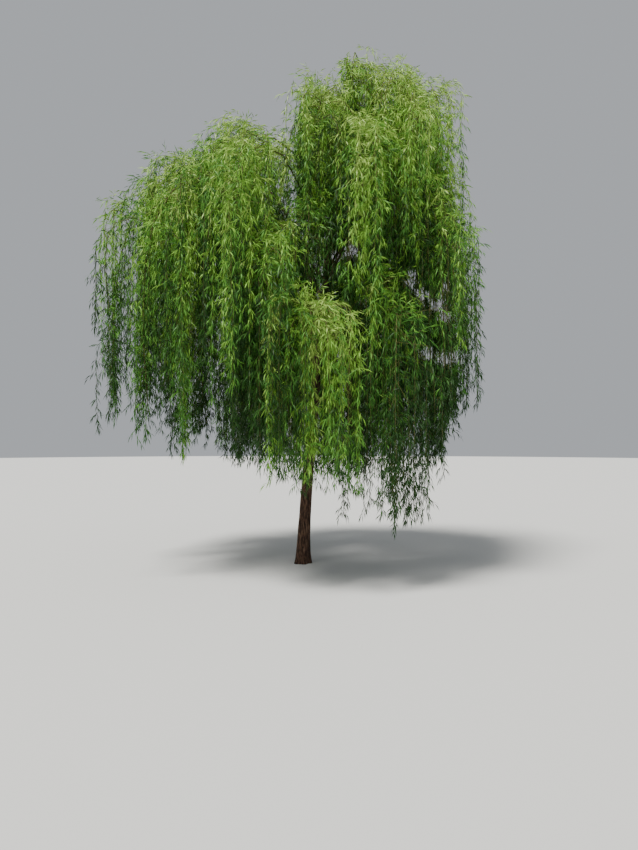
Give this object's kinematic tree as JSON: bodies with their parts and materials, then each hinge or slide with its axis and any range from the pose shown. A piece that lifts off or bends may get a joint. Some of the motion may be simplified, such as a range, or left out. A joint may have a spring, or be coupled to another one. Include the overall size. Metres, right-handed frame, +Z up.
{
  "type": "weeping willow tree",
  "caption": "Young weeping willow with a leaning trunk and long leafy shoots that arch over and hang in a curtain round it, rooted in level ground.",
  "frame": {"origin": "middle of the flat cut under the trunk, at ground level", "axes": "+Z up, +X to the right and +Y away from the viewer of the pictured side"},
  "size_m": [5.228, 4.7768, 6.8284],
  "materials": {
    "bark": "matt",
    "young_bark": "matt",
    "foliage": "satin"
  },
  "bodies": {
    "root": {"trunk": "bark", "bough_top_left": "young_bark", "bough_top": "young_bark", "bough_top_back": "young_bark", "bough_top_right": "young_bark", "bough_top_front": "young_bark", "bough_top_right_back": "young_bark", "bough_shoulder_left": "young_bark", "bough_top_right_front": "young_bark", "bough_back_high": "young_bark", "bough_shoulder_front": "young_bark", "bough_shoulder_back": "young_bark", "bough_right": "young_bark", "bough_front_left_high": "young_bark", "bough_right_back": "young_bark", "bough_middle_front": "young_bark", "bough_left": "young_bark", "bough_right_front": "young_bark", "bough_left_back": "young_bark", "bough_left_front": "young_bark", "bough_back_right": "young_bark", "bough_back_left": "young_bark", "bough_front_left": "young_bark", "bough_low_right": "young_bark", "bough_low_left": "young_bark", "bough_front_right": "young_bark", "bough_low_back": "young_bark", "bough_low_left_back": "young_bark", "bough_front": "young_bark", "foliage_top_left": "foliage", "foliage_top": "foliage", "foliage_top_back": "foliage", "foliage_top_right": "foliage", "foliage_top_front": "foliage", "foliage_top_right_back": "foliage", "foliage_shoulder_left": "foliage", "foliage_top_right_front": "foliage", "foliage_back_high": "foliage", "foliage_shoulder_front": "foliage", "foliage_shoulder_back": "foliage", "foliage_right": "foliage", "foliage_front_left_high": "foliage", "foliage_right_back": "foliage", "foliage_middle_front": "foliage", "foliage_left": "foliage", "foliage_right_front": "foliage", "foliage_left_back": "foliage", "foliage_left_front": "foliage", "foliage_back_right": "foliage", "foliage_back_left": "foliage", "foliage_front_left": "foliage", "foliage_low_right": "foliage", "foliage_low_left": "foliage", "foliage_front_right": "foliage", "foliage_low_back": "foliage", "foliage_low_left_back": "foliage", "foliage_front": "foliage"}
  },
  "joints": []
}
